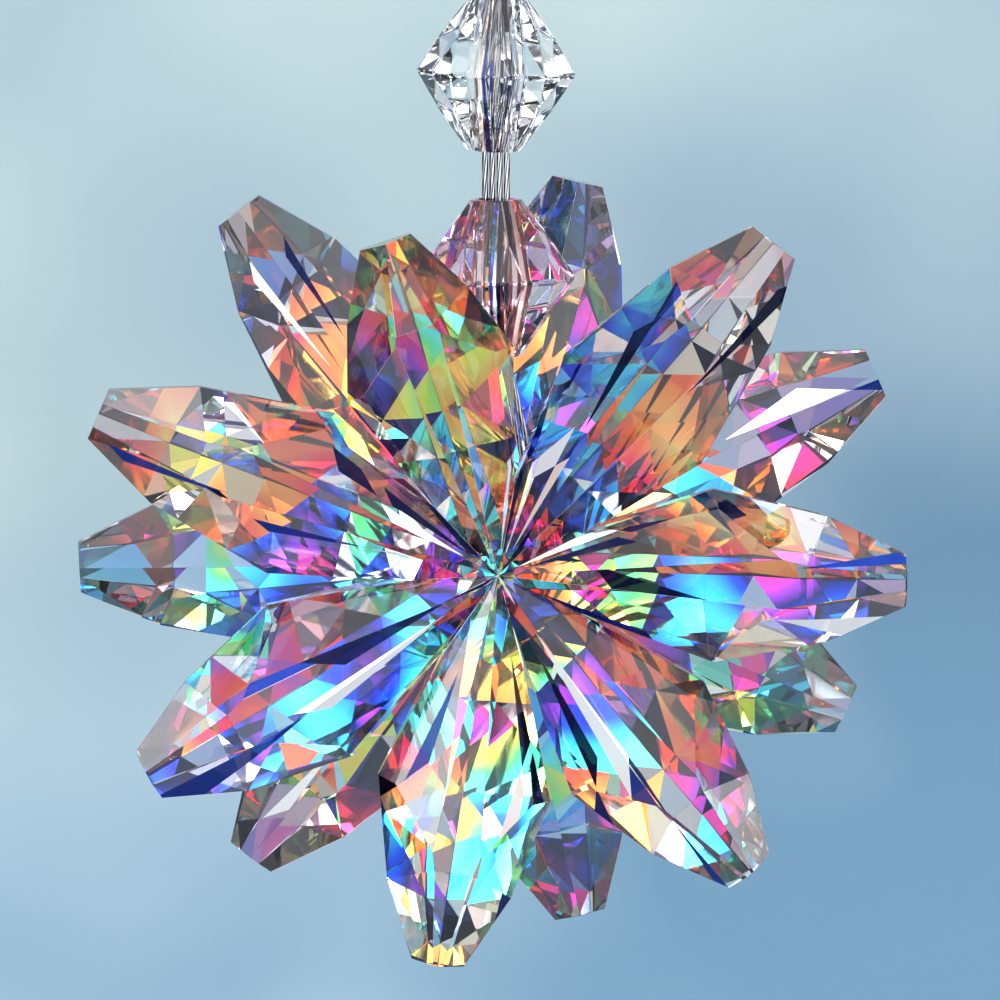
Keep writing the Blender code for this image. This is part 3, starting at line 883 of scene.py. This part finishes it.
def buildCrimp():
    # an oval sleeve, pressed in at two heights where the pliers closed it
    low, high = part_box("crimp_tube")
    middle = (low + high) / 2
    half = (high - low) / 2
    soften, sides = crimpLook["soften"], crimpLook["sides"]
    outer = (half.x, half.y)
    inner = (half.x - crimpLook["wall"], half.y - crimpLook["wall"])
    rings = []
    for index in range(crimpLook["rings"]):
        share = -1 + 2 * index / (crimpLook["rings"] - 1)
        press = sum(math.exp(-((share - height) / crimpLook["dentSpread"]) ** 2)
                    for height in crimpLook["dentHeights"])
        rim = max(0.0, abs(share) - 1 + soften / half.z) * half.z / soften
        inset = soften * (1 - math.sqrt(max(0.0, 1 - rim * rim)))
        rings.append((outer, inset, share * half.z, crimpLook["dent"] * min(1.0, press)))
    rings += [(inner, 0.0, half.z - soften, 0.0), (inner, 0.0, soften - half.z, 0.0)]
    shape = bmesh.new()
    loops = []
    for (width, depth), inset, z, dent in rings:
        loop = []
        for side in range(sides):
            angle = math.tau * side / sides
            flat = dent * abs(math.sin(angle))
            loop.append(shape.verts.new((middle.x + (width - inset) * math.cos(angle),
                                         middle.y + (depth - inset - flat) * math.sin(angle),
                                         middle.z + z)))
        loops.append(loop)
    for loop, following in zip(loops, loops[1:] + loops[:1]):
        for side in range(sides):
            beside = (side + 1) % sides
            shape.faces.new((loop[side], loop[beside], following[beside], following[side]))
    bmesh.ops.recalc_face_normals(shape, faces=shape.faces[:])
    mesh = bpy.data.meshes.new("crimpSleeve")
    shape.to_mesh(mesh)
    shape.free()
    mesh.shade_smooth()
    mesh.set_sharp_from_angle(angle=crimpLook["sharpAngle"])
    mesh.materials.append(crimpMetal)
    sleeve = addObject("crimpSleeve", mesh)
    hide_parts("crimp_tube")
    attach(sleeve, "root")


wireMetal = buildMetalMaterial("drawnSteel", wireMetalLook)
crimpMetal = buildMetalMaterial("platedSilver", crimpLook)
layTree = buildLayTree()
buildWire("inner_wire", "innerWireLaid", wireLook["pitch"] / 2, 0)
buildWire("outer_wire", "outerWireLaid", wireLook["pitch"] * 1.5, 1)
buildCrimp()
print("wires and crimp built")


# stage and light
stageLook = {
    "floorDrop": 26 * mm,
    "wallBehind": 85 * mm,
    "halfWidth": 900 * mm,
    "depthInFront": 700 * mm,
    "height": 900 * mm,
    "curve": 40 * mm,
    "curveSteps": 12,
    "roughness": 0.9,
    "cloudScale": 30.0,
    "cloudTurn": 1.21,
    "cloudDetail": 1.5,
    "mottling": ((0.22, (0.36, 0.44, 0.43)), (0.40, (0.265, 0.345, 0.375)), (0.58, (0.18, 0.26, 0.325)),
                 (0.80, (0.09, 0.17, 0.25))),
    "sideFade": (-38 * mm, 38 * mm),       # painted light and shade: paler on the left, deeper on the right
    "sideShift": (-0.17, 0.07),
    "heightFade": (-75 * mm, -15 * mm),    # and painted shade, deeper towards the floor
    "heightShift": (0.30, -0.06),
    "floorColour": (0.34, 0.355, 0.37, 1.0),
    "plainFrom": (50 * mm, 120 * mm),      # the mottling ends away from the middle of the wall
    "floorEnds": (10 * mm, 45 * mm),
}
lightLook = (        # name, azimuth and elevation in degrees, distance, width, height, power
    ("keyLeft", -64, 35, 0.45, 0.17, 0.17, 0.55),
    ("keyRight", 60, 48, 0.45, 0.08, 0.20, 0.32),
    ("top", 5, 78, 0.40, 0.22, 0.12, 0.30),
    ("frontRight", 17, 15, 0.55, 0.10, 0.14, 0.10),
    ("sideLeft", -82, 38, 0.40, 0.06, 0.18, 0.15),
    ("sideRight", 84, 20, 0.40, 0.06, 0.18, 0.15),
)
roomLook = {
    "seen": (0.38, 0.47, 0.58, 1.0),
    "brightest": (0.0, -0.80, 0.60),       # in front and above, and it falls off from there
    "stops": ((0.0, (0.006, 0.006, 0.014)), (0.40, (0.02, 0.02, 0.05)), (0.58, (0.22, 0.23, 0.28)),
              (0.78, (1.50, 1.49, 1.48)), (1.0, (2.35, 2.30, 2.24))),
}
bounces = {"max_bounces": 11, "transmission_bounces": 11, "glossy_bounces": 6, "diffuse_bounces": 2}


def buildPaper():
    material, tree, shader = newMaterial("backdropPaper")
    place = objectPlace(tree, (-900, 0))
    cloud = addNode(tree, "ShaderNodeTexNoise", "cloud", (-700, 0),
                    {"Vector": place, "W": stageLook["cloudTurn"], "Scale": stageLook["cloudScale"],
                     "Detail": stageLook["cloudDetail"]}, noise_dimensions="4D").outputs["Fac"]
    split = addNode(tree, "ShaderNodeSeparateXYZ", "split", (-900, -450), {0: place}).outputs
    # painted light and shade: paler to the left, deeper to the right and towards the floor
    sideways = addRange(tree, "from left to right", (-700, -250), split["X"], stageLook["sideFade"],
                        stageLook["sideShift"])
    upward = addRange(tree, "from low to high", (-700, -450), split["Z"], stageLook["heightFade"],
                      stageLook["heightShift"])
    fade = addMath(tree, "fade", (-550, -250), "ADD", sideways, upward)
    tint = addRamp(tree, "mottling", (-400, 0), addMath(tree, "shaded", (-550, 0), "ADD", cloud, fade),
                   stageLook["mottling"])
    behind = addRange(tree, "floor or wall", (-450, -450), split["Y"], stageLook["floorEnds"],
                      interpolation="SMOOTHSTEP")
    away = addNode(tree, "ShaderNodeVectorMath", "from the middle", (-700, -650),
                   {0: place, 1: (0.0, stageLook["wallBehind"], hub.z)},
                   operation="DISTANCE").outputs["Value"]
    near = addRange(tree, "plain further out", (-450, -650), away, stageLook["plainFrom"], (1.0, 0.0),
                    "SMOOTHSTEP")
    share = addMath(tree, "share", (-300, -450), "MULTIPLY", behind, near)
    facing = addNode(tree, "ShaderNodeNewGeometry", "side", (-450, -250)).outputs["Backfacing"]
    openBehind = addMath(tree, "open from behind", (-250, -250), "SUBTRACT", 1.0, facing)
    paper = addMix(tree, "paper", (-150, 100), share, stageLook["floorColour"], tint)
    setInputs(shader, {"Base Color": paper, "Roughness": stageLook["roughness"], "Alpha": openBehind})
    return material


def buildBackdrop():
    floorZ = cadBox[0][2] - stageLook["floorDrop"]
    curve, wallY = stageLook["curve"], stageLook["wallBehind"]
    profile = [(-stageLook["depthInFront"], floorZ)]
    for step in range(stageLook["curveSteps"] + 1):
        angle = math.pi / 2 * step / stageLook["curveSteps"]
        profile.append((wallY - curve + curve * math.sin(angle),
                        floorZ + curve - curve * math.cos(angle)))
    profile.append((wallY, floorZ + stageLook["height"]))
    shape = bmesh.new()
    left, right = ([shape.verts.new((side * stageLook["halfWidth"], y, z)) for y, z in profile]
                   for side in (-1, 1))
    for index in range(len(profile) - 1):
        shape.faces.new((left[index], right[index], right[index + 1], left[index + 1]))
    mesh = bpy.data.meshes.new("backdrop")
    shape.to_mesh(mesh)
    shape.free()
    mesh.shade_smooth()
    mesh.materials.append(buildPaper())
    backdrop = addObject("backdrop", mesh)


def buildLight():
    for name, azimuth, elevation, distance, width, height, power in lightLook:
        turn, rise = math.radians(azimuth), math.radians(elevation)
        away = Vector((math.sin(turn) * math.cos(rise), -math.cos(turn) * math.cos(rise),
                       math.sin(rise)))
        data = bpy.data.lights.new(name, "AREA")
        data.shape = "RECTANGLE"
        data.size, data.size_y = width, height
        data.energy = power
        lamp = addObject(name, data)
        lamp.location = hub + away * distance
        lamp.rotation_euler = (-away).to_track_quat("-Z", "Y").to_euler()
    world = bpy.data.worlds.new("studio")
    world.use_nodes = True
    tree = world.node_tree
    direction = addNode(tree, "ShaderNodeTexCoord", "direction", (-900, 0)).outputs["Generated"]
    towards = addNode(tree, "ShaderNodeVectorMath", "towards the light", (-700, 0),
                      {0: direction, 1: roomLook["brightest"]},
                      operation="DOT_PRODUCT").outputs["Value"]
    share = addMath(tree, "share", (-550, 0), "MULTIPLY_ADD", towards, 0.5, 0.5)
    room = addRamp(tree, "room", (-400, 0), share, roomLook["stops"])
    rays = addNode(tree, "ShaderNodeLightPath", "rays", (-400, 300)).outputs["Is Camera Ray"]
    seen = addMix(tree, "seen or lighting", (-150, 100), rays, room, roomLook["seen"])
    setInputs(tree.nodes["Background"], {"Color": seen})
    bpy.context.scene.world = world


buildBackdrop()
buildLight()
bpy.context.scene.view_settings.view_transform = "Standard"
bpy.context.scene.view_settings.look = "Medium High Contrast"
for setting, count in bounces.items():
    setattr(bpy.context.scene.cycles, setting, count)
print("stage and light set")
